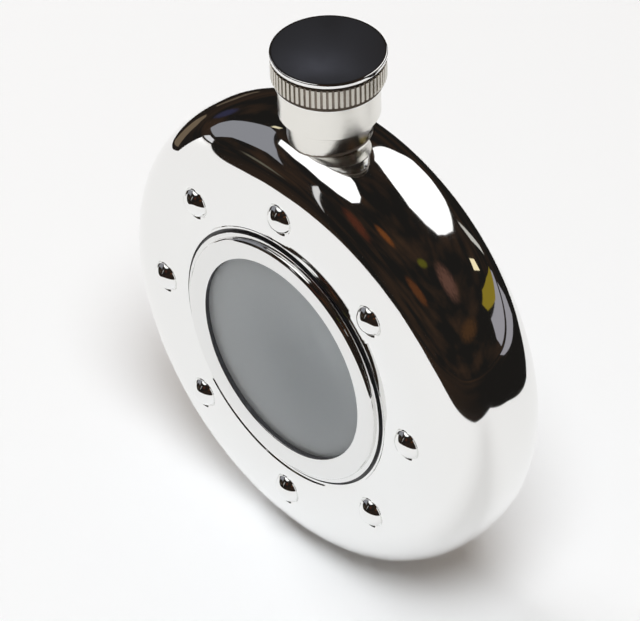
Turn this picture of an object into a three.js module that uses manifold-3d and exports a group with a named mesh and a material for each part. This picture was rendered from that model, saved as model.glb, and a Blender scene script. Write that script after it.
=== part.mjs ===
// A round pocket flask of polished metal that stands on its rim.
// Two pressed half shells meet at the middle of the rim. Each has a porthole window, held in a
// stepped seat by a bezel ring with eight domed studs around it. A neck with an outside thread
// stands on top of the rim, and a knurled cap with an inside thread screws down on it.
// Millimetres, +Z up, the front window faces -Y, the origin is the middle of the base flat.

import * as THREE from "three";
import { mergeVertices } from "three/addons/utils/BufferGeometryUtils.js";
import Module from "manifold-3d";

const wasm = await Module();
wasm.setup();

// Driving dimensions: the body
const bodyRadius = 52;
const bodyThickness = 28.2;
const sheetThickness = 1.2;
const rimCurveWidth = 13;
const rimCurveExponent = 2.28;
const baseFlatWidth = 20;

// Driving dimensions: the windows and the studs around them
const faceBandWidth = 10.5;
const bezelWidth = 5.7;
const bezelCrownHeight = 1.25;
const bezelInnerHeight = 0.82;
const bezelShoulderWidth = 1.05;
const bezelFlangeWidth = 0.9;
const bezelFlangeHeight = 0.2;
const recessDepth = 0.3;
const recessMargin = 1.1;
const recessWallWidth = 0.3;
const seatCoverWidth = 2.2;
const seatLedgeWidth = 3.4;
const glassThickness = 3;
const gasketThickness = 1.1;
const studCount = 8;
const studDiameter = 6.2;
const studHeight = 1.8;
const studOverhang = 0.2;

// Driving dimensions: the neck and its thread
const neckRadius = 10.15;
const neckHeight = 11.1;
const neckRingHeight = 3.9;
const neckRingStep = 1.65;
const neckInsertStep = 2.55;
const neckInsertDepth = 4.5;
const neckShoulderWidth = 1.85;
const spigotHeight = 5;
const neckInsertWall = 0.8;
const threadPitch = 1.5;
const threadHeight = 0.75;
const threadRootWidth = 0.6;
const threadCrestWidth = 0.25;
const threadEndMargin = 0.3;

// Driving dimensions: the cap
const capWallThickness = 1.65;
const capTopThickness = 1.2;
const capEdgeRound = 0.3;
const capCrownHeight = 0.95;
const capGrooveHeight = 0.75;
const capGrooveDepth = 0.7;
const capLipHeight = 0.35;
const capLipInset = 0.6;
const capLipFlankHeight = 0.5;
const ribLift = 0.5;
const ribCount = 64;
const ribHeight = 0.3;
const capEdgeOverhang = 0.1;
const linerThickness = 0.8;

// Clearances
const fitGap = 0.15;
const seamGap = 0.2;
const saddleGap = 0.3;
const threadClearance = 0.4;

// Fineness of the facets
const bodySegments = 48;
const neckSegments = 40;
const studSegments = 12;
const rimSteps = 10;
const innerRimSteps = 7;
const arcSteps = 4;

// Sizes that follow from the driving dimensions
const halfThickness = bodyThickness / 2;
const faceRadius = bodyRadius - rimCurveWidth;
const bezelRadius = faceRadius - faceBandWidth;
const bezelBoreRadius = bezelRadius - bezelWidth;
const recessRadius = bezelRadius + recessMargin;
const seatRadius = bezelRadius - seatCoverWidth;
const sightRadius = seatRadius - seatLedgeWidth;
const seatDepth = recessDepth + glassThickness + gasketThickness + 2 * fitGap;
const studRadius = studDiameter / 2;
const studRingRadius = faceRadius + studOverhang - studRadius;
const baseDrop = Math.sqrt(bodyRadius ** 2 - (baseFlatWidth / 2) ** 2);
const neckRingRadius = neckRadius - neckRingStep;
const neckInsertRadius = neckRadius - neckInsertStep;
const boreRadius = neckInsertRadius - neckInsertWall;
const neckRingTop = bodyRadius + neckRingHeight;
const shoulderLevel = bodyRadius + neckHeight;
const spigotTop = shoulderLevel + spigotHeight;
const spigotRadius = neckRadius - neckShoulderWidth;
const threadCrestRadius = spigotRadius + threadHeight;
const capThreadCrestRadius = spigotRadius + threadClearance;
const capBoreRadius = threadCrestRadius + threadClearance;
const capRootRadius = capBoreRadius + capWallThickness;
const capRibRadius = capRootRadius + ribHeight;
const capRadius = capRibRadius + capEdgeOverhang;
const capGrooveRadius = capRootRadius - capGrooveDepth;
const capLipRadius = capRadius - capLipInset;
const capBottom = shoulderLevel + fitGap;
const linerBottom = spigotTop + fitGap;
const capCeiling = linerBottom + linerThickness + fitGap;
const capTop = capCeiling + capTopThickness;
const capCrownBottom = capTop - capCrownHeight;
const capLipTop = capBottom + capLipHeight;
const capFlankTop = capLipTop + capLipFlankHeight;
const ribBandBottom = capFlankTop + ribLift;
const ribBandTop = capCrownBottom - capGrooveHeight;

// Finishes
const polishedMetal = { color: 0xd9dad8, roughness: 0.06, metalness: 1 };
const clearGlass = { color: 0x84888b, roughness: 0.03, metalness: 0, transparent: true, opacity: 0.35 };
const blackRubber = { color: 0x1d1d1f, roughness: 0.8, metalness: 0 };
const paleLiner = { color: 0xd8d5cc, roughness: 0.6, metalness: 0 };

// A closed mesh as a solid that can be joined and cut
function solidOf(geometry) {
  const bare = geometry.clone();
  bare.deleteAttribute("normal");
  bare.deleteAttribute("uv");
  const merged = mergeVertices(bare);
  const corners = merged.getIndex().array;
  const triVerts = [];
  for (let i = 0; i < corners.length; i += 3) {
    const [a, b, c] = corners.slice(i, i + 3);
    if (a !== b && b !== c && c !== a) triVerts.push(a, b, c);
  }
  const mesh = new wasm.Mesh({
    numProp: 3,
    vertProperties: Float32Array.from(merged.getAttribute("position").array),
    triVerts: Uint32Array.from(triVerts),
  });
  return new wasm.Manifold(mesh);
}

// A solid back as a mesh geometry
function geometryOf(solid) {
  const mesh = solid.getMesh();
  const geometry = new THREE.BufferGeometry();
  geometry.setAttribute("position", new THREE.BufferAttribute(Float32Array.from(mesh.vertProperties), 3));
  geometry.setIndex(new THREE.BufferAttribute(Uint32Array.from(mesh.triVerts), 1));
  geometry.computeVertexNormals();
  return geometry;
}

// A closed outline of [radius, height] points turned about the Y axis
function turnedAboutY(outline, segments) {
  const points = outline.map(([radius, height]) => new THREE.Vector2(radius, height));
  if (THREE.ShapeUtils.area(points) < 0) points.reverse();
  points.push(points[0].clone());
  return new THREE.LatheGeometry(points, segments);
}

// The same outline turned about the Z axis
function turnedAboutZ(outline, segments) {
  return turnedAboutY(outline, segments).rotateX(Math.PI / 2);
}

function boxBetween(low, high) {
  const size = high.map((value, axis) => value - low[axis]);
  const middle = high.map((value, axis) => (value + low[axis]) / 2);
  return solidOf(new THREE.BoxGeometry(...size).translate(...middle));
}

// Points of an elliptical arc from one angle to another, in degrees
function arc(centreRadius, centreHeight, across, along, fromDegrees, toDegrees) {
  return Array.from({ length: arcSteps + 1 }, (_, i) => {
    const angle = THREE.MathUtils.degToRad(fromDegrees + ((toDegrees - fromDegrees) * i) / arcSteps);
    return [centreRadius + across * Math.cos(angle), centreHeight + along * Math.sin(angle)];
  });
}

// The rim curve of the front half, a superellipse quarter from the flat face to the seam
function rimCurve(inset, steps) {
  const power = 2 / rimCurveExponent;
  return Array.from({ length: steps + 1 }, (_, i) => {
    const angle = ((i / steps) * Math.PI) / 2;
    const radius = faceRadius + (rimCurveWidth - inset) * Math.sin(angle) ** power;
    const depth = (halfThickness - inset) * Math.max(Math.cos(angle), 0) ** power;
    return [radius, -Math.max(depth, seamGap / 2)];
  });
}

// The whole body filled in, grown or shrunk by an inset all round
function bodyBlank(inset) {
  const front = [[0, -(halfThickness - inset)], ...rimCurve(inset, rimSteps)];
  const back = front.map(([radius, height]) => [radius, -height]).reverse();
  return solidOf(turnedAboutY([...front, ...back], bodySegments));
}

// A half shell: pressed rim and face, the shallow recess for the bezel, and the seat for the window
function halfShell() {
  const face = -halfThickness;
  const ledge = face + seatDepth;
  const outline = [
    ...rimCurve(0, rimSteps).reverse(),
    [recessRadius + recessWallWidth, face],
    [recessRadius, face + recessDepth],
    [seatRadius, face + recessDepth],
    [seatRadius, ledge],
    [sightRadius, ledge],
    [sightRadius, ledge + sheetThickness],
    [seatRadius + sheetThickness, ledge + sheetThickness],
    [seatRadius + sheetThickness, face + sheetThickness],
    ...rimCurve(sheetThickness, innerRimSteps),
  ];
  const wall = solidOf(turnedAboutY(outline, bodySegments));
  const reach = bodyRadius + sheetThickness;
  const baseSlab = boxBetween([-reach, -reach, -reach], [reach, -seamGap, -baseDrop + sheetThickness]);
  const basePad = bodyBlank(sheetThickness / 2).intersect(baseSlab);
  const belowBase = boxBetween([-reach, -reach, -2 * reach], [reach, reach, -baseDrop]);
  const holeRadius = neckInsertRadius + fitGap;
  const neckHole = turnedAboutZ(
    [[0, bodyRadius / 2], [holeRadius, bodyRadius / 2], [holeRadius, 2 * bodyRadius], [0, 2 * bodyRadius]],
    neckSegments,
  );
  return geometryOf(wall.add(basePad).subtract(belowBase).subtract(solidOf(neckHole)));
}

// The bezel: a flat-backed ring over the glass, with a thin flange, a rolled shoulder and a sloping land
function bezel() {
  const face = -halfThickness;
  const back = face + recessDepth - fitGap;
  const flange = face - bezelFlangeHeight;
  const crownRadius = bezelRadius - bezelFlangeWidth - bezelShoulderWidth;
  const shoulderHeight = bezelCrownHeight - bezelFlangeHeight;
  const outline = [
    [bezelBoreRadius, back],
    [bezelRadius, back],
    [bezelRadius, flange],
    ...arc(crownRadius, flange, bezelShoulderWidth, shoulderHeight, 0, -90),
    [bezelBoreRadius, face - bezelInnerHeight],
  ];
  return geometryOf(solidOf(turnedAboutY(outline, bodySegments)));
}

function glass() {
  const outer = -halfThickness + recessDepth;
  const inner = outer + glassThickness;
  const radius = seatRadius - fitGap;
  const outline = [[0, outer], [radius, outer], [radius, inner], [0, inner]];
  return geometryOf(solidOf(turnedAboutY(outline, bodySegments)));
}

function gasket() {
  const ledge = -halfThickness + seatDepth - fitGap;
  const outer = ledge - gasketThickness;
  const hole = sightRadius + fitGap;
  const radius = seatRadius - fitGap;
  const outline = [[hole, outer], [radius, outer], [radius, ledge], [hole, ledge]];
  return geometryOf(solidOf(turnedAboutY(outline, bodySegments)));
}

// A stud: a shallow round cap of a sphere on a flat foot
function stud() {
  const domeRadius = (studRadius ** 2 + studHeight ** 2) / (2 * studHeight);
  const domeAngle = THREE.MathUtils.radToDeg(Math.asin((domeRadius - studHeight) / domeRadius));
  const dome = arc(0, domeRadius - studHeight, domeRadius, domeRadius, -90, -domeAngle);
  return geometryOf(solidOf(turnedAboutY([[0, 0], ...dome], studSegments)));
}

// A helical thread ridge between two levels, from a root sunk into its wall out to its crest
function threadRidge(rootRadius, crestRadius, low, high, phaseLevel) {
  const levels = [-threadRootWidth / 2, -threadCrestWidth / 2, threadCrestWidth / 2, threadRootWidth / 2];
  const radii = [rootRadius, crestRadius, crestRadius, rootRadius];
  const turnsBefore = (low + threadRootWidth / 2 - phaseLevel) / threadPitch;
  const turns = (high - low - threadRootWidth) / threadPitch;
  const steps = Math.ceil(turns * neckSegments);
  const positions = [];
  for (let i = 0; i <= steps; i += 1) {
    const turn = turnsBefore + (turns * i) / steps;
    const angle = turn * 2 * Math.PI;
    levels.forEach((level, j) => {
      positions.push(radii[j] * Math.cos(angle), radii[j] * Math.sin(angle));
      positions.push(phaseLevel + turn * threadPitch + level);
    });
  }
  const sides = levels.length;
  const index = [];
  for (let i = 0; i < steps; i += 1) {
    for (let j = 0; j < sides; j += 1) {
      const here = i * sides + j;
      const beside = i * sides + ((j + 1) % sides);
      index.push(here, here + sides, beside, beside, here + sides, beside + sides);
    }
  }
  const last = steps * sides;
  index.push(0, 1, 2, 0, 2, 3, last, last + 2, last + 1, last, last + 3, last + 2);
  if (crestRadius < rootRadius) index.reverse();
  const geometry = new THREE.BufferGeometry();
  geometry.setAttribute("position", new THREE.Float32BufferAttribute(positions, 3));
  geometry.setIndex(index);
  return solidOf(geometry);
}

// The ring at the foot of the neck, narrower than the neck and cut to sit on the curved rim
function neckRing() {
  const inner = neckInsertRadius + fitGap;
  const bottom = bodyRadius - neckInsertDepth;
  const outline = [
    [inner, bottom],
    [neckRingRadius, bottom],
    [neckRingRadius, neckRingTop],
    [inner, neckRingTop],
  ];
  const tube = solidOf(turnedAboutZ(outline, neckSegments));
  return geometryOf(tube.subtract(bodyBlank(-saddleGap)));
}

// The neck: an insert through the rim, the plain neck above the ring, and the threaded spigot
function neckCollar() {
  const foot = neckRingTop + fitGap;
  const outline = [
    [boreRadius, bodyRadius - neckInsertDepth],
    [neckInsertRadius, bodyRadius - neckInsertDepth],
    [neckInsertRadius, foot],
    [neckRadius, foot],
    [neckRadius, shoulderLevel],
    [spigotRadius, shoulderLevel],
    [spigotRadius, spigotTop],
    [boreRadius, spigotTop],
  ];
  const tube = solidOf(turnedAboutZ(outline, neckSegments));
  const sunkRoot = (spigotRadius + boreRadius) / 2;
  const low = shoulderLevel + threadEndMargin;
  const high = spigotTop - threadEndMargin;
  return geometryOf(tube.add(threadRidge(sunkRoot, threadCrestRadius, low, high, shoulderLevel)));
}

// The cap: a crown, a groove, a band of ribs and a lip below them, bored out and threaded inside
function capCrown() {
  const ribs = new THREE.Shape();
  for (let i = 0; i < 2 * ribCount; i += 1) {
    const angle = (i * Math.PI) / ribCount;
    const radius = i % 2 === 0 ? capRibRadius : capRootRadius;
    const point = [radius * Math.cos(angle), radius * Math.sin(angle)];
    if (i === 0) ribs.moveTo(...point);
    else ribs.lineTo(...point);
  }
  ribs.closePath();
  const bandHeight = ribBandTop - ribBandBottom;
  const band = new THREE.ExtrudeGeometry(ribs, { depth: bandHeight, bevelEnabled: false });
  const crownOutline = [
    [0, capBottom],
    [capLipRadius, capBottom],
    [capLipRadius, capLipTop],
    [capGrooveRadius, capFlankTop],
    [capGrooveRadius, capCrownBottom],
    [capRadius, capCrownBottom],
    ...arc(capRadius - capEdgeRound, capTop - capEdgeRound, capEdgeRound, capEdgeRound, 0, 90),
    [0, capTop],
  ];
  const crown = turnedAboutZ(crownOutline, neckSegments);
  const low = capBottom - bodyRadius;
  const boreOutline = [[0, low], [capBoreRadius, low], [capBoreRadius, capCeiling], [0, capCeiling]];
  const bore = turnedAboutZ(boreOutline, neckSegments);
  const blank = solidOf(band.translate(0, 0, ribBandBottom)).add(solidOf(crown)).subtract(solidOf(bore));
  const sunkRoot = capBoreRadius + capWallThickness / 4;
  const ridgeLow = capBottom + threadEndMargin;
  const ridgeHigh = linerBottom - threadEndMargin;
  const ridgePhase = shoulderLevel + threadPitch / 2;
  return geometryOf(blank.add(threadRidge(sunkRoot, capThreadCrestRadius, ridgeLow, ridgeHigh, ridgePhase)));
}

function capLiner() {
  const radius = capThreadCrestRadius - fitGap;
  const top = linerBottom + linerThickness;
  const outline = [[0, linerBottom], [radius, linerBottom], [radius, top], [0, top]];
  return geometryOf(solidOf(turnedAboutZ(outline, neckSegments)));
}

function piece(name, geometry, finish) {
  const mesh = new THREE.Mesh(geometry, new THREE.MeshStandardMaterial(finish));
  mesh.name = name;
  return mesh;
}

// One face of the flask, front or back: its half shell, window and studs
function faceGroup(side) {
  const group = new THREE.Group();
  group.add(piece(`${side}_shell`, halfShell(), polishedMetal));
  group.add(piece(`${side}_window_gasket`, gasket(), blackRubber));
  group.add(piece(`${side}_glass`, glass(), clearGlass));
  group.add(piece(`${side}_bezel`, bezel(), polishedMetal));
  for (let i = 0; i < studCount; i += 1) {
    const angle = (i / studCount) * 2 * Math.PI;
    const mesh = piece(`${side}_stud_${i + 1}`, stud(), polishedMetal);
    mesh.position.x = studRingRadius * Math.sin(angle);
    mesh.position.y = -halfThickness - fitGap;
    mesh.position.z = studRingRadius * Math.cos(angle);
    group.add(mesh);
  }
  return group;
}

const flask = new THREE.Group();
flask.position.z = baseDrop;
flask.add(faceGroup("front"));
const backFace = faceGroup("back");
backFace.rotation.z = Math.PI;
flask.add(backFace);
flask.add(piece("neck_ring", neckRing(), polishedMetal));
flask.add(piece("neck_collar", neckCollar(), polishedMetal));
flask.add(piece("cap_liner", capLiner(), paleLiner));
flask.add(piece("cap_crown", capCrown(), polishedMetal));

const part = new THREE.Group();
part.add(flask);

export default part;
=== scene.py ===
# A round pocket flask of mirror-polished metal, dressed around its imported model.
# Metres, +Z up, the front window faces -Y, and the flask stands on z = 0.
import math
import bpy
from mathutils import Matrix, Quaternion, Vector


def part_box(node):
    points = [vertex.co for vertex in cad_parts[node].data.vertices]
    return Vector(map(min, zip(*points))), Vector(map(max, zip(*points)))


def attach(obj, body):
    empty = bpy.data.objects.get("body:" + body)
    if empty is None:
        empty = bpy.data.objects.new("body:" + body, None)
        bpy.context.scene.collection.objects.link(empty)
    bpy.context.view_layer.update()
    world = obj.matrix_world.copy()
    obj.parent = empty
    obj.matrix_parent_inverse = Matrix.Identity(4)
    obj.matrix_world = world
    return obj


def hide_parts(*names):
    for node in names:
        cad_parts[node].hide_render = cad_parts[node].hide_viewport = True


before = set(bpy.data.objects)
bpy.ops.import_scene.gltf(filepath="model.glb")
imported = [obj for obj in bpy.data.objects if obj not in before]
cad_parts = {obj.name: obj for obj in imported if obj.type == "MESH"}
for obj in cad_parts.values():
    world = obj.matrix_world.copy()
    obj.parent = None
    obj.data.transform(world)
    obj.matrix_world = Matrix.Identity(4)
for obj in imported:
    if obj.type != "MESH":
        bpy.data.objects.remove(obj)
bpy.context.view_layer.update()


# Camera
# A long lens from the right and well above, so the flask is seen almost without perspective.
# It aims a little to the left of the body's middle and leans over by about a degree.
bezel_low, bezel_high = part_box("front_bezel")
body_middle = Vector((0, 0, (bezel_low.z + bezel_high.z) / 2))
camera_azimuth = math.radians(47.98)
camera_elevation = math.radians(40.29)
camera_roll = math.radians(-1.24)
camera_distance = 0.789
camera_focal_pixels = 3851
photo_width_pixels = 640
camera_aim = body_middle + Vector((-0.0040, 0, 0.0020))
camera_turn = (
    Quaternion((0, 0, 1), camera_azimuth)
    @ Quaternion((1, 0, 0), math.pi / 2 - camera_elevation)
    @ Quaternion((0, 0, 1), camera_roll)
)
camera_place = camera_aim + camera_turn @ Vector((0, 0, camera_distance))
bpy.ops.object.camera_add(location=camera_place, rotation=camera_turn.to_euler())
camera = bpy.context.object
camera.name = "photo_camera"
camera.data.sensor_width = 36
camera.data.lens = camera_focal_pixels * camera.data.sensor_width / photo_width_pixels
camera.data.clip_end = 20
bpy.context.scene.camera = camera


# Floor
# A sheet of white card, far larger than the view.
# It takes the soft shadow of the flask and is what the faces and the neck mirror.
def deselect_everything():
    if bpy.context.mode != "OBJECT":
        bpy.ops.object.mode_set(mode="OBJECT")
    bpy.ops.object.select_all(action="DESELECT")


def new_material(name):
    material = bpy.data.materials.new(name)
    material.use_nodes = True
    return material, material.node_tree.nodes, material.node_tree.links


floor_size = 12.0
floor_colour = (0.915, 0.935, 0.955, 1)
deselect_everything()
bpy.ops.mesh.primitive_plane_add(size=floor_size, location=(0, 0, 0))
floor = bpy.context.object
floor.name = "white_floor"
floor_card, nodes, links = new_material("white_card")
nodes["Principled BSDF"].inputs["Base Color"].default_value = floor_colour
nodes["Principled BSDF"].inputs["Roughness"].default_value = 0.9
nodes["Principled BSDF"].inputs["Specular IOR Level"].default_value = 0.1
floor.data.materials.append(floor_card)


# World
# White surroundings where the camera, the metal or the glass looks straight at them.
# What they add to the light on the floor is weaker and warm, so it tints the shadow.
room_light = 0.22
room_warmth = (1.0, 0.78, 0.60, 1)
world = bpy.data.worlds.new("white_room")
bpy.context.scene.world = world
world.use_nodes = True
nodes, links = world.node_tree.nodes, world.node_tree.links
seen = nodes.new("ShaderNodeLightPath")
camera_or_metal = nodes.new("ShaderNodeMath")
camera_or_metal.operation = "MAXIMUM"
links.new(seen.outputs["Is Camera Ray"], camera_or_metal.inputs[0])
links.new(seen.outputs["Is Glossy Ray"], camera_or_metal.inputs[1])
seen_directly = nodes.new("ShaderNodeMath")
seen_directly.operation = "MAXIMUM"
links.new(camera_or_metal.outputs[0], seen_directly.inputs[0])
links.new(seen.outputs["Is Transmission Ray"], seen_directly.inputs[1])
warm_light = nodes["Background"]
warm_light.inputs["Color"].default_value = room_warmth
warm_light.inputs["Strength"].default_value = room_light
white_surroundings = nodes.new("ShaderNodeBackground")
white_surroundings.inputs["Color"].default_value = (1, 1, 1, 1)
white_surroundings.inputs["Strength"].default_value = 1
choice = nodes.new("ShaderNodeMixShader")
links.new(seen_directly.outputs[0], choice.inputs["Fac"])
links.new(warm_light.outputs[0], choice.inputs[1])
links.new(white_surroundings.outputs[0], choice.inputs[2])
links.new(choice.outputs[0], nodes["World Output"].inputs["Surface"])
bpy.context.scene.view_settings.view_transform = "Standard"


# Lamps
# Two soft lamps: one above the camera, so most of the shadow hides behind the flask, and one low at the left.
# Each faces the flask and lights the scene only. What the metal mirrors is built further on.
lamp_distance = 2.4


def direction_to(azimuth, elevation):
    a, e = math.radians(azimuth), math.radians(elevation)
    return Vector((math.sin(a) * math.cos(e), -math.cos(a) * math.cos(e), math.sin(e)))


def soft_lamp(name, azimuth, elevation, width, radiance, colour):
    toward = direction_to(azimuth, elevation)
    place = body_middle + lamp_distance * toward
    bpy.ops.object.light_add(type="AREA", location=place, rotation=toward.to_track_quat("Z", "Y").to_euler())
    lamp = bpy.context.object
    lamp.name = name
    lamp.data.shape = "DISK"
    lamp.data.size = width
    lamp.data.energy = radiance * math.pi * math.pi * width * width / 4
    lamp.data.color = colour
    lamp.visible_camera = False
    lamp.visible_glossy = False


soft_lamp("lamp_above_camera", 53, 65, 1.3, 10.8, (0.95, 0.98, 1.0))
soft_lamp("lamp_left", -93, 25, 0.8, 17.2, (1.0, 1.0, 1.0))


# Dim room
# Past the edge of the white card the table, the walls and the ceiling are dark brown.
# They show only in the metal, so they light nothing and hide nothing from the camera.
def only_in_reflections(obj):
    for ray in ("camera", "diffuse", "transmission", "volume_scatter", "shadow"):
        setattr(obj, "visible_" + ray, False)


room_radius = 3.2
dark_brown = (0.012, 0.011, 0.010, 1)
warm_brown = (0.045, 0.026, 0.016, 1)
room_paint, nodes, links = new_material("dim_brown_room")
nodes.remove(nodes["Principled BSDF"])
place = nodes.new("ShaderNodeTexCoord")
stretch = nodes.new("ShaderNodeMapping")
stretch.inputs["Scale"].default_value = (0.5, 0.5, 1.3)
links.new(place.outputs["Object"], stretch.inputs["Vector"])
patches = nodes.new("ShaderNodeTexNoise")
patches.inputs["Scale"].default_value = 1.6
patches.inputs["Detail"].default_value = 6
links.new(stretch.outputs["Vector"], patches.inputs["Vector"])
shades = nodes.new("ShaderNodeValToRGB")
shades.color_ramp.elements[0].position = 0.45
shades.color_ramp.elements[0].color = dark_brown
shades.color_ramp.elements[1].position = 0.78
shades.color_ramp.elements[1].color = warm_brown
links.new(patches.outputs["Fac"], shades.inputs["Fac"])
glow = nodes.new("ShaderNodeEmission")
links.new(shades.outputs["Color"], glow.inputs["Color"])
links.new(glow.outputs[0], nodes["Material Output"].inputs["Surface"])

deselect_everything()
bpy.ops.mesh.primitive_uv_sphere_add(segments=64, ring_count=32, radius=room_radius, location=(0, 0, 0))
room = bpy.context.object
room.name = "dim_room"
room.data.materials.append(room_paint)
only_in_reflections(room)

# The edge of the white card seen from above, from the back left corner round by the left and the front.
card_edge = [
    (-0.21, 0.11), (-0.28, 0.02), (-0.34, -0.07), (-2.70, -0.55), (-2.50, -1.10), (-0.45, -0.31),
    (-0.28, -0.24), (-0.20, -0.215), (-0.165, -0.23), (-0.16, -0.32), (-0.16, -0.43), (-0.14, -0.58),
    (-0.08, -0.76), (0.06, -0.90), (0.18, -0.62), (0.215, -0.33), (0.195, -0.16), (0.20, -0.05),
    (0.255, 0.035), (0.19, 0.095), (0.10, 0.135), (0.06, 0.20), (-0.10, 0.21),
]
table_lift = 0.0005
deselect_everything()
bpy.ops.mesh.primitive_circle_add(vertices=len(card_edge), radius=1, fill_type="NOTHING", location=(0, 0, 0))
dark_table = bpy.context.object
dark_table.name = "dark_table"
for corner, (x, y) in zip(dark_table.data.vertices, card_edge):
    corner.co = (x, y, table_lift)
bpy.ops.object.mode_set(mode="EDIT")
bpy.ops.mesh.primitive_circle_add(
    vertices=64, radius=room_radius, fill_type="NOTHING", location=(0, 0, table_lift))
bpy.ops.mesh.select_all(action="SELECT")
bpy.ops.mesh.fill()
bpy.ops.object.mode_set(mode="OBJECT")
dark_table.data.materials.append(room_paint)
only_in_reflections(dark_table)


# Bright shapes in the room
# Tall windows, pale walls, a curtain, lamps and papers, which show only in the metal.
# Those that stand are given by the azimuth and elevation of their corners as seen from the flask.
wall_distance = 2.9


def glowing_outline(name, places, colour):
    deselect_everything()
    bpy.ops.mesh.primitive_circle_add(vertices=len(places), radius=1, fill_type="NGON", location=(0, 0, 0))
    shape = bpy.context.object
    shape.name = name
    for corner, place in zip(shape.data.vertices, places):
        corner.co = place
    paint, nodes, links = new_material(name)
    nodes.remove(nodes["Principled BSDF"])
    glow = nodes.new("ShaderNodeEmission")
    glow.inputs["Color"].default_value = (*colour, 1)
    links.new(glow.outputs[0], nodes["Material Output"].inputs["Surface"])
    shape.data.materials.append(paint)
    only_in_reflections(shape)


def bright_shape(name, corners, colour):
    places = [body_middle + wall_distance * direction_to(*corner) for corner in corners]
    glowing_outline(name, places, colour)


window_white = (1.3, 1.3, 1.3)
bright_shape("window_left", [
    (-76, 42), (-62, 50), (-79, 64), (-89, 70), (-87, 76), (-52, 82), (-2, 75), (0, 67), (-7, 57), (-18, 51),
    (-31, 46), (-42, 45), (-50, 42), (-67, 39)], window_white)
bright_shape("window_behind", [
    (201, 55), (206, 45), (203, 34), (199, 22), (198, 11), (193, 9), (183, 15), (170, 25), (157, 33),
    (146, 42), (141, 47), (144, 53), (154, 60), (174, 61), (190, 59)], window_white)
bright_shape("gap_of_light", [
    (-28, 29), (-27, 36), (-24, 31), (-23, 17), (-22, 7), (-25, 16)], (0.7, 0.7, 0.7))
bright_shape("pale_wall_left", [
    (-87, 4), (-91, 8), (-93, 14), (-92, 24), (-91, 35), (-86, 39), (-57, 34), (-42, 24), (-52, 24),
    (-60, 19), (-69, 13), (-73, 5)], (0.27, 0.275, 0.30))
bright_shape("paper_left", [(-79, 0), (-77, 3), (-70, 3), (-67, 0)], (0.7, 0.7, 0.72))
bright_shape("pale_wall_behind", [
    (169, 0), (168, 2), (147, 8), (129, 11), (126, 4), (128, 0)], (0.32, 0.31, 0.34))
bright_shape("olive_curtain", [
    (168, 3), (160, 2), (146, 8), (130, 14), (128, 18), (137, 19), (152, 13)], (0.24, 0.18, 0.02))
bright_shape("small_lamp", [(148, 26), (153, 21), (150, 18), (143, 24)], (1.0, 0.86, 0.55))
bright_shape("lamp_shade", [(-97, 40), (-93, 39), (-92, 35), (-96, 36)], (0.78, 0.70, 0.48))
bright_shape("lit_edge_behind", [(171, 18), (173, 18), (177, 1), (174, 1), (169, 13)], (0.55, 0.54, 0.5))


# A sheet, a board and a book lie on the dark table, given by their corners as seen from above.
def sheet_on_table(name, corners, colour):
    glowing_outline(name, [Vector((x, y, 2 * table_lift)) for x, y in corners], colour)


sheet_on_table("grey_sheet", [
    (0.42, 1.80), (0.12, 0.50), (0.12, 0.35), (0.22, 0.41), (0.85, 0.63), (1.80, 1.20)], (0.32, 0.31, 0.34))
sheet_on_table("tan_board", [
    (-0.29, 0.03), (-0.36, -0.04), (-0.52, 0.01), (-0.75, 0.10), (-0.75, 0.20), (-0.52, 0.17),
    (-0.38, 0.11)], (0.16, 0.12, 0.08))
sheet_on_table("tan_book", [
    (-0.32, 0.15), (-0.40, 0.18), (-0.45, 0.24), (-0.40, 0.27), (-0.33, 0.22)], (0.11, 0.085, 0.06))


# Warm things in the room
# Shelves and furniture in brown and red, each a soft oval that shows only in the metal.
# Each has a direction from the flask, a width and a height in degrees, a colour and a softness of edge.
def soft_oval(name, azimuth, elevation, width, height, colour, softness):
    toward = direction_to(azimuth, elevation)
    deselect_everything()
    middle = body_middle + wall_distance * toward
    facing = toward.to_track_quat("Z", "Y").to_euler()
    bpy.ops.mesh.primitive_plane_add(size=1, location=middle, rotation=facing)
    oval = bpy.context.object
    oval.name = name
    oval.scale = [2 * wall_distance * math.tan(math.radians(angle / 2)) for angle in (width, height)] + [1]
    paint, nodes, links = new_material(name)
    nodes.remove(nodes["Principled BSDF"])
    place = nodes.new("ShaderNodeTexCoord")
    spread = nodes.new("ShaderNodeMapping")
    spread.inputs["Scale"].default_value = (2, 2, 2)
    links.new(place.outputs["Object"], spread.inputs["Vector"])
    fade = nodes.new("ShaderNodeTexGradient")
    fade.gradient_type = "SPHERICAL"
    links.new(spread.outputs["Vector"], fade.inputs["Vector"])
    ragged = nodes.new("ShaderNodeTexNoise")
    ragged.inputs["Scale"].default_value = 9
    links.new(place.outputs["Object"], ragged.inputs["Vector"])
    torn = nodes.new("ShaderNodeMath")
    torn.operation = "MULTIPLY"
    links.new(fade.outputs["Fac"], torn.inputs[0])
    links.new(ragged.outputs["Fac"], torn.inputs[1])
    edge = nodes.new("ShaderNodeMapRange")
    edge.interpolation_type = "SMOOTHSTEP"
    edge.inputs["From Max"].default_value = softness / 2
    links.new(torn.outputs[0], edge.inputs["Value"])
    glow = nodes.new("ShaderNodeEmission")
    glow.inputs["Color"].default_value = (*colour, 1)
    clear = nodes.new("ShaderNodeBsdfTransparent")
    mix = nodes.new("ShaderNodeMixShader")
    links.new(edge.outputs["Result"], mix.inputs["Fac"])
    links.new(clear.outputs[0], mix.inputs[1])
    links.new(glow.outputs[0], mix.inputs[2])
    links.new(mix.outputs[0], nodes["Material Output"].inputs["Surface"])
    oval.data.materials.append(paint)
    only_in_reflections(oval)


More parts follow.
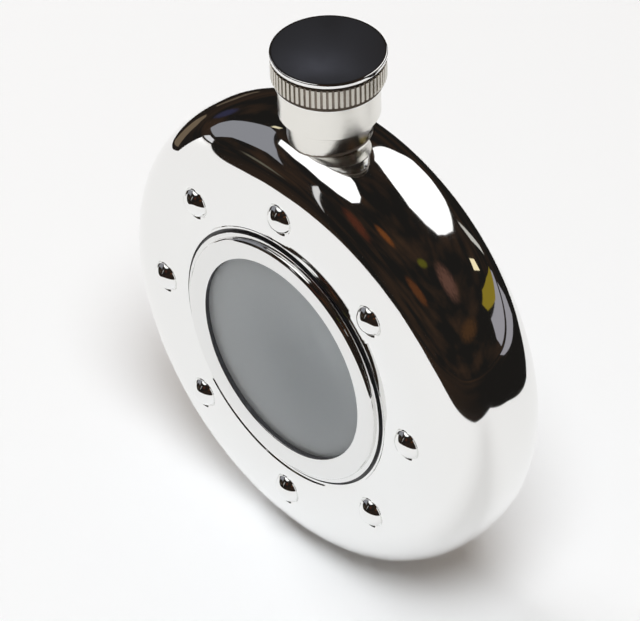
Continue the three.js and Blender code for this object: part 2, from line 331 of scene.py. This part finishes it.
soft_oval("orange_shelf", 29, 56, 16, 12, (0.15, 0.05, 0.015), 0.7)
soft_oval("red_brown_shelf", -3, 36, 18, 22, (0.075, 0.024, 0.014), 0.7)
soft_oval("olive_book", 82, 52, 16, 6, (0.09, 0.085, 0.012), 0.6)
soft_oval("red_books", 107, 39, 24, 22, (0.11, 0.055, 0.04), 0.7)
soft_oval("brown_box", 43, 32, 22, 14, (0.09, 0.034, 0.014), 0.6)
soft_oval("brown_drawer", 101, 18, 36, 11, (0.06, 0.03, 0.014), 0.7)
soft_oval("tan_rail", -45, 7, 22, 4, (0.13, 0.12, 0.09), 0.7)
soft_oval("blue_cloth", -104, 5, 14, 12, (0.03, 0.03, 0.06), 0.6)
soft_oval("ceiling_above", -132, 38, 9, 7, (0.03, 0.03, 0.034), 0.9)
soft_oval("ceiling_paler", -132, 37.95, 2.4, 1.1, (0.08, 0.082, 0.10), 1.0)


# Half shells
# The body is two dishes pressed from sheet metal and soldered edge to edge round the rim.
# Each has a flat face with a shallow bezel recess and a window seat, polished outside and dull inside.
def turned(name, outline, middle, axis, across, steps):
    """A closed outline of (radius, height) points, spun about an axis through middle."""
    deselect_everything()
    bpy.ops.mesh.primitive_plane_add(size=0.001, location=(0, 0, 0))
    piece = bpy.context.object
    piece.name = name
    piece.data.name = name
    points = [middle + radius * across + height * axis for radius, height in outline]
    bpy.ops.object.mode_set(mode="EDIT")
    bpy.ops.mesh.merge(type="CENTER")
    bpy.ops.transform.translate(value=points[0])
    for start, end in zip(points, points[1:] + points[:1]):
        bpy.ops.mesh.extrude_region_move(TRANSFORM_OT_translate={"value": end - start})
    bpy.ops.mesh.select_all(action="SELECT")
    bpy.ops.mesh.spin(steps=steps, angle=2 * math.pi, center=middle, axis=axis)
    bpy.ops.mesh.select_all(action="SELECT")
    bpy.ops.mesh.remove_doubles(threshold=1e-6)
    bpy.ops.mesh.normals_make_consistent(inside=False)
    bpy.ops.mesh.select_all(action="DESELECT")
    bpy.ops.object.mode_set(mode="OBJECT")
    return piece


def only_active(piece):
    deselect_everything()
    piece.select_set(True)
    bpy.context.view_layer.objects.active = piece


def combine(piece, other, operation):
    """Cuts the other mesh out of the piece, or joins it on, and removes the other object."""
    only_active(piece)
    bpy.ops.object.modifier_add(type="BOOLEAN")
    tool = piece.modifiers[-1]
    tool.operation = operation
    tool.solver = "EXACT"
    tool.object = other
    bpy.ops.object.modifier_apply(modifier=tool.name)
    bpy.data.objects.remove(other)


def finish_piece(piece, body, node):
    """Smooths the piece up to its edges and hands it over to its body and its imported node."""
    only_active(piece)
    bpy.ops.object.shade_smooth_by_angle(angle=smooth_angle)
    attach(piece, body)
    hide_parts(node)


smooth_angle = math.radians(30)
up = Vector((0, 0, 1))
sideways = Vector((1, 0, 0))
toward_front = Vector((0, -1, 0))
faces_of_flask = (("front", toward_front), ("back", -toward_front))
shell_low, shell_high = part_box("front_shell")
pane_low, pane_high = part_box("front_glass")
body_radius = shell_high.x
half_thickness = -shell_low.y
sheet_thickness = 0.0012
rim_width = 0.013
rim_roundness = 2.28
rim_points = 40
seam_land = 0.0001
body_steps = 192
hole_steps = 128
fit_gap = 0.00015
bezel_radius = bezel_high.x
pane_radius = pane_high.x
seat_radius = pane_radius + fit_gap
seat_ledge_width = 0.0034
sight_radius = seat_radius - seat_ledge_width
recess_depth = half_thickness + pane_low.y
ledge = -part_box("front_window_gasket")[1].y - fit_gap
neck_hole_radius = 0.00775
stud_low, stud_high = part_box("front_stud_1")
stud_radius = (stud_high.x - stud_low.x) / 2
stud_ring_radius = (stud_high.z + stud_low.z) / 2 - body_middle.z
top_stud_place = body_middle + stud_ring_radius * up
stud_count = 8
stud_steps = 48


def rim_curve(inset):
    """The rim from the seam to the flat face: a superellipse quarter that leaves both without a kink."""
    power = 2 / rim_roundness
    curve = [(body_radius - inset, 0), (body_radius - inset, seam_land)]
    for i in range(1, rim_points + 1):
        angle = math.pi / 2 * (1 - i / rim_points)
        radius = body_radius - rim_width + (rim_width - inset) * math.sin(angle) ** power
        curve.append((radius, (half_thickness - inset) * math.cos(angle) ** power))
    return curve


def within_the_body(point, margin):
    """True for points inside the form of the body, grown all round by a margin."""
    out = point - body_middle
    reach = max(math.hypot(out.x, out.z) - (body_radius - rim_width), 0) / (rim_width + margin)
    depth = abs(out.y) / (half_thickness + margin)
    return reach ** rim_roundness + depth ** rim_roundness < 1


# The recess has a sloping wall, and a narrow crevice round the edge of the bezel in it, painted near-black as
# shade.
recess_floor = half_thickness - recess_depth
recess_margin = 0.0011
recess_radius = bezel_radius + recess_margin
edge_blend = 0.00005
crevice_width = 0.0007
crevice_undercut = 0.0003
crevice_depth = 0.0003
shell_outline = rim_curve(0)
shell_outline += [
    (recess_radius + recess_depth + 2 * edge_blend, half_thickness),
    (recess_radius + recess_depth, half_thickness - edge_blend),
    (recess_radius + edge_blend, recess_floor + edge_blend),
    (recess_radius - edge_blend, recess_floor),
    (bezel_radius + crevice_width, recess_floor),
    (bezel_radius + crevice_width, recess_floor - crevice_depth),
    (bezel_radius - crevice_undercut, recess_floor - crevice_depth),
    (bezel_radius - crevice_undercut, recess_floor),
    (seat_radius, recess_floor),
    (seat_radius, ledge),
    (sight_radius, ledge),
    (sight_radius, ledge - sheet_thickness),
    (seat_radius + sheet_thickness, ledge - sheet_thickness),
    (seat_radius + sheet_thickness, half_thickness - sheet_thickness),
]
shell_outline += reversed(rim_curve(sheet_thickness))

# Each stud stands in a fine pressed ring: one ring is spun, copied round the face and cut in with the rest.
ring_width = 0.0005
ring_depth = 0.00025
ring_gap = 0.0001
ring_outline = [
    (stud_radius - ring_width, half_thickness - ring_depth),
    (stud_radius + ring_gap, half_thickness - ring_depth),
    (stud_radius + ring_width, half_thickness),
    (stud_radius + 2 * ring_width, half_thickness + ring_depth),
    (stud_radius - ring_width, half_thickness + ring_depth),
]


def turn_about_middle(step, steps):
    """A turn by some of the equal steps round the middle of the face."""
    turn = Matrix.Rotation(2 * math.pi * step / steps, 4, "Y")
    return Matrix.Translation(body_middle) @ turn @ Matrix.Translation(-body_middle)


polish, nodes, links = new_material("mirror_polished_metal")
metal = nodes["Principled BSDF"]
metal.inputs["Base Color"].default_value = (0.87, 0.87, 0.86, 1)
metal.inputs["Metallic"].default_value = 1
place = nodes.new("ShaderNodeTexCoord")
buffing = nodes.new("ShaderNodeTexNoise")
buffing.inputs["Scale"].default_value = 90
buffing.inputs["Detail"].default_value = 4
links.new(place.outputs["Object"], buffing.inputs["Vector"])
gloss = nodes.new("ShaderNodeMapRange")
gloss.inputs["From Min"].default_value = 0.3
gloss.inputs["From Max"].default_value = 0.7
gloss.inputs["To Min"].default_value = 0.025
gloss.inputs["To Max"].default_value = 0.06
links.new(buffing.outputs["Fac"], gloss.inputs["Value"])
links.new(gloss.outputs["Result"], metal.inputs["Roughness"])

dull, nodes, links = new_material("dull_inside_metal")
inside = nodes["Principled BSDF"]
inside.inputs["Metallic"].default_value = 0.3
inside.inputs["Roughness"].default_value = 0.6
place = nodes.new("ShaderNodeTexCoord")
mottle = nodes.new("ShaderNodeTexNoise")
mottle.inputs["Scale"].default_value = 60
links.new(place.outputs["Object"], mottle.inputs["Vector"])
greys = nodes.new("ShaderNodeValToRGB")
greys.color_ramp.elements[0].color = (0.66, 0.68, 0.69, 1)
greys.color_ramp.elements[1].color = (0.74, 0.76, 0.77, 1)
links.new(mottle.outputs["Fac"], greys.inputs["Fac"])
links.new(greys.outputs["Color"], inside.inputs["Base Color"])


def speckled_roughness(nodes, links, scale, smoothest, roughest):
    """Breaks up a finish with fine noise that moves its roughness between two values."""
    place = nodes.new("ShaderNodeTexCoord")
    speckle = nodes.new("ShaderNodeTexNoise")
    speckle.inputs["Scale"].default_value = scale
    links.new(place.outputs["Object"], speckle.inputs["Vector"])
    sheen = nodes.new("ShaderNodeMapRange")
    sheen.inputs["To Min"].default_value = smoothest
    sheen.inputs["To Max"].default_value = roughest
    links.new(speckle.outputs["Fac"], sheen.inputs["Value"])
    links.new(sheen.outputs["Result"], nodes["Principled BSDF"].inputs["Roughness"])


# Near-black paint for the crevice round the bezel and the bore of the bezel: painted shade in these hollows.
crevice_shade, nodes, links = new_material("metal_painted_with_crevice_shade")
nodes["Principled BSDF"].inputs["Base Color"].default_value = (0.03, 0.03, 0.033, 1)
speckled_roughness(nodes, links, 500, 0.3, 0.5)


def in_the_crevice(point):
    """True for points on the walls and the floor of the crevice round the bezel."""
    out = point - body_middle
    across = abs(math.hypot(out.x, out.z) - bezel_radius)
    sunk_in = recess_floor - abs(out.y)
    return across < crevice_width + edge_blend and edge_blend < sunk_in < 2 * crevice_depth


for side, toward in faces_of_flask:
    shell = turned(side + "_half_shell", shell_outline, body_middle, toward, sideways, body_steps)
    deselect_everything()
    bpy.ops.mesh.primitive_cylinder_add(
        vertices=hole_steps, radius=neck_hole_radius, depth=body_radius,
        location=body_middle + body_radius * up)
    combine(shell, bpy.context.object, "DIFFERENCE")
    first_ring = turned("stud_ring", ring_outline, top_stud_place, toward, sideways, stud_steps)
    rings = [first_ring]
    for i in range(1, stud_count):
        ring = first_ring.copy()
        ring.data = first_ring.data.copy()
        ring.data.transform(turn_about_middle(i, stud_count))
        bpy.context.scene.collection.objects.link(ring)
        rings.append(ring)
    only_active(first_ring)
    for ring in rings:
        ring.select_set(True)
    bpy.ops.object.join()
    combine(shell, first_ring, "DIFFERENCE")
    only_active(shell)
    bpy.ops.object.mode_set(mode="EDIT")
    bpy.ops.mesh.select_all(action="SELECT")
    bpy.ops.mesh.bisect(
        plane_co=(0, 0, 0), plane_no=(0, 0, -1), use_fill=True, clear_outer=True, threshold=1e-7)
    bpy.ops.mesh.mark_sharp()
    bpy.ops.object.mode_set(mode="OBJECT")
    shell.data.materials.clear()
    for finish in (polish, dull, crevice_shade):
        shell.data.materials.append(finish)
    for face in shell.data.polygons:
        # Faces in the crevice take the near-black painted shade.
        if in_the_crevice(face.center):
            face.material_index = 2
        elif within_the_body(face.center, -sheet_thickness / 2):
            face.material_index = 1
        else:
            face.material_index = 0
    finish_piece(shell, "flask", side + "_shell")


# Window gaskets
# A flat ring of black rubber on the ledge of each window seat, which the pane is pressed down on.
# It is punched from sheet, with its inner edge slightly rounded.
gasket_top = -pane_high.y
gasket_round = 0.0002
rubber, nodes, links = new_material("black_rubber")
nodes["Principled BSDF"].inputs["Base Color"].default_value = (0.018, 0.018, 0.02, 1)
speckled_roughness(nodes, links, 900, 0.6, 0.9)
gasket_outline = [
    (sight_radius + gasket_round, ledge),
    (pane_radius, ledge),
    (pane_radius, gasket_top),
    (sight_radius + gasket_round, gasket_top),
    (sight_radius, gasket_top - gasket_round),
    (sight_radius, ledge + gasket_round),
]
for side, toward in faces_of_flask:
    gasket = turned(side + "_gasket_ring", gasket_outline, body_middle, toward, sideways, body_steps)
    gasket.data.materials.append(rubber)
    finish_piece(gasket, "flask", side + "_window_gasket")


# Window panes
# A round pane of hazed glass, ground flat on both sides and with its edges broken.
# It drops into the seat, level with the floor of the recess. Its transmission is highest right of the middle
# and falls off outward: painted shade there and painted light towards the edge.
pane_outer = -pane_low.y
pane_inner = -pane_high.y
pane_chamfer = 0.0003
hazed, nodes, links = new_material("hazed_pane_glass")
pane_glass = nodes["Principled BSDF"]
pane_glass.inputs["Base Color"].default_value = (0.66, 0.70, 0.72, 1)
pane_glass.inputs["IOR"].default_value = 1.5
place = nodes.new("ShaderNodeTexCoord")
# Transmission weight falls from a spot right of the middle towards the edge: painted shade at the spot and
# painted light towards the edge.
from_painted_shade_spot = nodes.new("ShaderNodeMapping")
from_painted_shade_spot.inputs["Location"].default_value = (-0.008, 0, -body_middle.z)
from_painted_shade_spot.inputs["Scale"].default_value = (1, 0, 1)
links.new(place.outputs["Object"], from_painted_shade_spot.inputs["Vector"])
how_far = nodes.new("ShaderNodeVectorMath")
how_far.operation = "LENGTH"
links.new(from_painted_shade_spot.outputs["Vector"], how_far.inputs[0])
painted_pane_shading = nodes.new("ShaderNodeMapRange")
painted_pane_shading.inputs["From Min"].default_value = 0.006
painted_pane_shading.inputs["From Max"].default_value = 0.027
painted_pane_shading.inputs["To Min"].default_value = 0.86
painted_pane_shading.inputs["To Max"].default_value = 0.63
links.new(how_far.outputs["Value"], painted_pane_shading.inputs["Value"])
links.new(painted_pane_shading.outputs["Result"], pane_glass.inputs["Transmission Weight"])
speckled_roughness(nodes, links, 45, 0.30, 0.42)
pane_outline = [
    (0, pane_inner),
    (pane_radius - pane_chamfer, pane_inner),
    (pane_radius, pane_inner + pane_chamfer),
    (pane_radius, pane_outer - pane_chamfer),
    (pane_radius - pane_chamfer, pane_outer),
    (0, pane_outer),
]
for side, toward in faces_of_flask:
    pane = turned(side + "_pane", pane_outline, body_middle, toward, sideways, body_steps)
    pane.data.materials.append(hazed)
    finish_piece(pane, "flask", side + "_glass")


# Bezel rings
# A turned ring of the same metal that holds each pane down and sits in the recess of the face.
# Inside a thin flange its shoulder rolls up to a crown, and from there a plain land slopes in to the window.
# The bore above the pane is painted near-black as shade.
bezel_crown = -bezel_low.y
bezel_width = 0.0057
flange_width = 0.0009
flange_height = 0.0002
shoulder_width = 0.00105
inner_height = 0.00082
inner_round = 0.0003
bezel_bore = bezel_radius - bezel_width
crown_radius = bezel_radius - flange_width - shoulder_width
flange_top = half_thickness + flange_height
inner_top = half_thickness + inner_height


def quarter(middle_radius, middle_height, across, along, start_degrees, end_degrees, points):
    """Points of an elliptical arc with half widths across and along."""
    made = []
    for i in range(points + 1):
        angle = math.radians(start_degrees + (end_degrees - start_degrees) * i / points)
        made.append((middle_radius + across * math.cos(angle), middle_height + along * math.sin(angle)))
    return made


bezel_outline = [
    (bezel_bore, recess_floor),
    (bezel_radius, recess_floor),
    (bezel_radius, flange_top - edge_blend),
    (bezel_radius - edge_blend, flange_top),
]
bezel_outline += quarter(crown_radius, flange_top, shoulder_width, bezel_crown - flange_top, 0, 90, 16)
bezel_outline += quarter(
    bezel_bore + inner_round, inner_top - inner_round, inner_round, inner_round, 90, 180, 6)
# The polish copied with a darker colour: painted shade over the whole bezel.
bezel_polish_painted_darker = polish.copy()
bezel_polish_painted_darker.name = "polished_bezel_metal_painted_darker"
bezel_polish_painted_darker.node_tree.nodes["Principled BSDF"].inputs["Base Color"].default_value = (0.80, 0.80, 0.79, 1)
for side, toward in faces_of_flask:
    bezel = turned(side + "_bezel_ring", bezel_outline, body_middle, toward, sideways, body_steps)
    bezel.data.materials.append(bezel_polish_painted_darker)
    bezel.data.materials.append(crevice_shade)
    for face in bezel.data.polygons:
        # Faces of the bore take the near-black painted shade.
        out = face.center - body_middle
        in_the_bore = math.hypot(out.x, out.z) < bezel_bore + edge_blend
        face.material_index = 1 if in_the_bore else 0
    finish_piece(bezel, "flask", side + "_bezel")


# Studs
# Small solid domes soldered on the face around each bezel, as on a ship's porthole.
# One is spun for each face and copied round it, each copy with a mesh of its own.
stud_height = stud_high.y - stud_low.y
dome_radius = (stud_radius ** 2 + stud_height ** 2) / (2 * stud_height)
dome_start = math.degrees(math.asin((dome_radius - stud_height) / dome_radius))
dome_middle = half_thickness + stud_height - dome_radius
stud_outline = [(0, half_thickness - ring_depth), (stud_radius, half_thickness - ring_depth)]
stud_outline += quarter(0, dome_middle, dome_radius, dome_radius, dome_start, 90, 14)
for side, toward in faces_of_flask:
    first = turned(side + "_stud_dome_1", stud_outline, top_stud_place, toward, sideways, stud_steps)
    first.data.materials.append(polish)
    domes = [first]
    for i in range(1, stud_count):
        dome = first.copy()
        dome.data = first.data.copy()
        dome.name = f"{side}_stud_dome_{i + 1}"
        dome.data.name = dome.name
        dome.data.transform(turn_about_middle(-i * toward.y, stud_count))
        bpy.context.scene.collection.objects.link(dome)
        domes.append(dome)
    for i, dome in enumerate(domes):
        finish_piece(dome, "flask", f"{side}_stud_{i + 1}")


# Neck ring
# The foot of the neck: a plain ring, narrower than the neck, saddle-cut to the rim and soldered on.
# It is left with the satin finish of the lathe, in fine level lines, above a thin line of painted shade where
# it is soldered to the rim.
ring_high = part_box("neck_ring")[1]
neck_low, neck_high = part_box("neck_collar")
base_of_frame = Vector((0, 0, 0))
neck_steps = 128
neck_radius = neck_high.x
ring_radius = ring_high.x
ring_reach_below_crest = 0.0045
ring_bottom = body_middle.z + body_radius - ring_reach_below_crest
seam_break = 0.00008
foot_shade_width = 0.00035
wall_rows = 48
row_height = (ring_high.z - seam_break - ring_bottom) / wall_rows
foot_outline = [(neck_hole_radius, ring_bottom)]
foot_outline += [(ring_radius, ring_bottom + row * row_height) for row in range(wall_rows + 1)]
foot_outline += [(ring_radius - seam_break, ring_high.z), (neck_hole_radius, ring_high.z)]

# A brownish mottled paint for the creases: painted shade in the gaps and the groove of the cap and where the
# neck's foot meets the rim.
crease_shade, nodes, links = new_material("metal_painted_with_groove_shade")
dark_metal = nodes["Principled BSDF"]
dark_metal.inputs["Metallic"].default_value = 0.6
dark_metal.inputs["Roughness"].default_value = 0.4
place = nodes.new("ShaderNodeTexCoord")
shade_mottle = nodes.new("ShaderNodeTexNoise")
shade_mottle.inputs["Scale"].default_value = 250
links.new(place.outputs["Object"], shade_mottle.inputs["Vector"])
shade_tones = nodes.new("ShaderNodeValToRGB")
shade_tones.color_ramp.elements[0].color = (0.15, 0.125, 0.105, 1)
shade_tones.color_ramp.elements[1].color = (0.34, 0.29, 0.24, 1)
links.new(shade_mottle.outputs["Fac"], shade_tones.inputs["Fac"])
links.new(shade_tones.outputs["Color"], dark_metal.inputs["Base Color"])

satin, nodes, links = new_material("satin_turned_metal")
satin_metal = nodes["Principled BSDF"]
satin_metal.inputs["Base Color"].default_value = (0.80, 0.785, 0.74, 1)
satin_metal.inputs["Metallic"].default_value = 1
place = nodes.new("ShaderNodeTexCoord")
level_lines = nodes.new("ShaderNodeMapping")
level_lines.inputs["Scale"].default_value = (40, 40, 6000)
links.new(place.outputs["Object"], level_lines.inputs["Vector"])
tool_marks = nodes.new("ShaderNodeTexNoise")
tool_marks.inputs["Scale"].default_value = 1
tool_marks.inputs["Detail"].default_value = 2
links.new(level_lines.outputs["Vector"], tool_marks.inputs["Vector"])
sheen = nodes.new("ShaderNodeMapRange")
sheen.inputs["To Min"].default_value = 0.14
sheen.inputs["To Max"].default_value = 0.26
links.new(tool_marks.outputs["Fac"], sheen.inputs["Value"])
links.new(sheen.outputs["Result"], satin_metal.inputs["Roughness"])
marks = nodes.new("ShaderNodeBump")
marks.inputs["Strength"].default_value = 0.12
marks.inputs["Distance"].default_value = 0.00005
links.new(tool_marks.outputs["Fac"], marks.inputs["Height"])
links.new(marks.outputs["Normal"], satin_metal.inputs["Normal"])
foot = turned("neck_foot_ring", foot_outline, base_of_frame, up, sideways, neck_steps)
sunk = sheet_thickness / 2
blank_outline = [(0, half_thickness - sunk)] + list(reversed(rim_curve(sunk)))
blank_outline += [(radius, -height) for radius, height in rim_curve(sunk)[1:]] + [(0, sunk - half_thickness)]
body_blank = turned("body_blank", blank_outline, body_middle, toward_front, sideways, body_steps)
combine(foot, body_blank, "DIFFERENCE")
foot.data.materials.clear()
foot.data.materials.append(satin)
foot.data.materials.append(crease_shade)
# Faces of the foot near the rim take the painted shade.
for face in foot.data.polygons:
    face.material_index = 1 if within_the_body(face.center, foot_shade_width) else 0
finish_piece(foot, "flask", "neck_ring")


# Neck
# A turned tube: an insert soldered through the rim, the plain neck, and a spigot with the outside thread.
# The thread is a ridge wound up the spigot and joined on, and all of it has the satin finish of the foot.
cap_low, cap_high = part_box("cap_crown")
shoulder = cap_low.z - fit_gap
insert_radius = neck_hole_radius - fit_gap
bore_radius = 0.0068
spigot_radius = 0.0083
thread_pitch = 0.0015
thread_height = 0.00075
thread_root_width = 0.0006
thread_crest_width = 0.00025
thread_margin = 0.0003
thread_gap = 0.0004
thread_steps = 64
edge_break = 0.0002


def thread_ridge(name, root_radius, crest_radius, low, high, phase):
    """A ridge that winds up between two levels, its section extruded a small turn at a time."""
    root_half = thread_root_width / 2
    crest_half = thread_crest_width / 2
    start_turn = (low + root_half - phase) / thread_pitch
    turns = (high - low - 2 * root_half) / thread_pitch
    steps = math.ceil(turns * thread_steps)
    step_turn = 2 * math.pi * turns / steps
    middle = phase + start_turn * thread_pitch
    section = [
        (root_radius, -root_half), (crest_radius, -crest_half),
        (root_radius, root_half), (crest_radius, crest_half),
    ]
    deselect_everything()
    bpy.ops.mesh.primitive_plane_add(size=1, location=(0, 0, 0))
    ridge = bpy.context.object
    ridge.name = name
    for corner, (radius, level) in zip(ridge.data.vertices, section):
        corner.co = (radius, 0, middle + level)
    bpy.ops.object.mode_set(mode="EDIT")
    bpy.ops.mesh.select_all(action="SELECT")
    bpy.ops.transform.rotate(value=-2 * math.pi * start_turn, orient_axis="Z", center_override=(0, 0, 0))
    small_rise = Vector((0, 0, thread_pitch * turns / steps))
    for _ in range(steps):
        bpy.ops.mesh.extrude_region_move(TRANSFORM_OT_translate={"value": small_rise})
        bpy.ops.transform.rotate(value=-step_turn, orient_axis="Z", center_override=(0, 0, 0))
    bpy.ops.mesh.select_all(action="SELECT")
    bpy.ops.mesh.normals_make_consistent(inside=False)
    bpy.ops.object.mode_set(mode="OBJECT")
    return ridge


neck_outline = [
    (bore_radius, neck_low.z),
    (insert_radius, neck_low.z),
    (insert_radius, ring_high.z),
    (neck_radius - edge_break, ring_high.z),
    (neck_radius, ring_high.z + edge_break),
    (neck_radius, shoulder - edge_break),
    (neck_radius - edge_break, shoulder),
    (spigot_radius, shoulder),
    (spigot_radius, neck_high.z - edge_break),
    (spigot_radius - edge_break, neck_high.z),
    (bore_radius + edge_break, neck_high.z),
    (bore_radius, neck_high.z - edge_break),
]
neck = turned("neck_tube", neck_outline, base_of_frame, up, sideways, neck_steps)
neck_thread = thread_ridge(
    "neck_thread", (spigot_radius + bore_radius) / 2, spigot_radius + thread_height,
    shoulder + thread_margin, neck_high.z - thread_margin, shoulder)
combine(neck, neck_thread, "UNION")
neck.data.materials.clear()
neck.data.materials.append(satin)
finish_piece(neck, "flask", "neck_collar")


# Cap
# A turned screw cap: a plain crown with a crisp edge, a groove, a band of fine ribs and a narrow lip.
# Each rib is raised from two panels of the band, and the third panel is the gap; the gaps and the groove
# round the band are painted with shade.
# The inside is bored for the liner and threaded like the neck.
liner_low, liner_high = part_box("cap_liner")
cap_radius = cap_high.x
cap_bore = spigot_radius + thread_height + thread_gap
cap_edge_round = 0.0003
crown_height = 0.00095
groove_height = 0.00075
rib_count = 64
panels_a_rib = 3
rib_height = 0.0003
rib_taper = 0.00005
rib_lift = 0.0005
crown_overhang = 0.0001
groove_depth = 0.0007
lip_inset = 0.0006
lip_height = 0.00035
flank_height = 0.0005
rib_root = cap_radius - rib_height - crown_overhang
groove_radius = rib_root - groove_depth
lip_radius = cap_radius - lip_inset
lip_top = cap_low.z + lip_height
flank_top = lip_top + flank_height
rib_bottom = flank_top + rib_lift
crown_bottom = cap_high.z - crown_height
rib_top = crown_bottom - groove_height
cap_ceiling = liner_high.z + fit_gap
small_break = 0.0001
cap_outline = [
    (cap_bore, cap_low.z),
    (lip_radius - edge_break, cap_low.z),
    (lip_radius, cap_low.z + edge_break),
    (lip_radius, lip_top),
    (groove_radius, flank_top),
    (groove_radius, rib_bottom),
    (rib_root, rib_bottom),
    (rib_root, rib_top),
    (groove_radius, rib_top),
    (groove_radius, crown_bottom),
    (cap_radius - small_break, crown_bottom),
    (cap_radius, crown_bottom + small_break),
]
cap_outline += quarter(
    cap_radius - cap_edge_round, cap_high.z - cap_edge_round, cap_edge_round, cap_edge_round, 0, 90, 8)
cap_outline += [
    (cap_radius - 2 * cap_edge_round, cap_high.z),
    (0, cap_high.z),
    (0, cap_ceiling),
    (cap_bore, cap_ceiling),
]
band_panels = panels_a_rib * rib_count
cap = turned("cap_shell", cap_outline, base_of_frame, up, sideways, band_panels)
only_active(cap)
bpy.ops.object.mode_set(mode="EDIT")
bpy.ops.mesh.select_mode(type="FACE")
bpy.ops.mesh.select_all(action="DESELECT")
bpy.ops.object.mode_set(mode="OBJECT")
for face in cap.data.polygons:
    middle = face.center
    in_band = rib_bottom < middle.z < rib_top
    on_band = abs(math.hypot(middle.x, middle.y) - rib_root) < small_break
    panel = math.floor(math.atan2(middle.y, middle.x) / (2 * math.pi / band_panels))
    face.select = in_band and on_band and panel % panels_a_rib != 0
bpy.ops.object.mode_set(mode="EDIT")
bpy.ops.mesh.inset(thickness=rib_taper, depth=rib_height)
bpy.ops.mesh.select_mode(type="VERT")
bpy.ops.object.mode_set(mode="OBJECT")
cap_thread = thread_ridge(
    "cap_thread", cap_bore + thread_gap, spigot_radius + thread_gap,
    cap_low.z + thread_margin, liner_low.z - thread_margin, shoulder + thread_pitch / 2)
combine(cap, cap_thread, "UNION")
cap.data.materials.clear()
# The satin copied with a darker colour: painted shade on the tops of the ribs.
rib_satin_painted_darker = satin.copy()
rib_satin_painted_darker.name = "satin_rib_metal_painted_darker"
rib_satin_painted_darker.node_tree.nodes["Principled BSDF"].inputs["Base Color"].default_value = (0.56, 0.535, 0.48, 1)
for finish in (polish, crease_shade, rib_satin_painted_darker):
    cap.data.materials.append(finish)
for face in cap.data.polygons:
    reach = math.hypot(face.center.x, face.center.y)
    in_a_groove = groove_radius - small_break < reach < rib_root + small_break
    beside_the_ribs = lip_top + small_break < face.center.z < crown_bottom + small_break / 2
    on_a_rib = reach > rib_root + small_break and rib_bottom < face.center.z < rib_top
    # Faces in the gaps and the groove take the painted shade.
    if in_a_groove and beside_the_ribs:
        face.material_index = 1
    # Rib tops take the satin painted darker as shade.
    elif on_a_rib:
        face.material_index = 2
    else:
        face.material_index = 0
finish_piece(cap, "cap", "cap_crown")


# Cap liner
# A punched disc of pale plastic inside the cap that seals on the end of the neck.
# It lies loose below the cap's ceiling, so it rises with the cap but doesn't turn with it.
liner_outline = [
    (0, liner_low.z),
    (liner_high.x - edge_break, liner_low.z),
    (liner_high.x, liner_low.z + edge_break),
    (liner_high.x, liner_high.z),
    (0, liner_high.z),
]
pale_plastic, nodes, links = new_material("pale_plastic")
nodes["Principled BSDF"].inputs["Base Color"].default_value = (0.68, 0.66, 0.6, 1)
speckled_roughness(nodes, links, 700, 0.4, 0.6)
liner = turned("cap_seal_disc", liner_outline, base_of_frame, up, sideways, neck_steps)
liner.data.materials.append(pale_plastic)
finish_piece(liner, "cap_seal", "cap_liner")
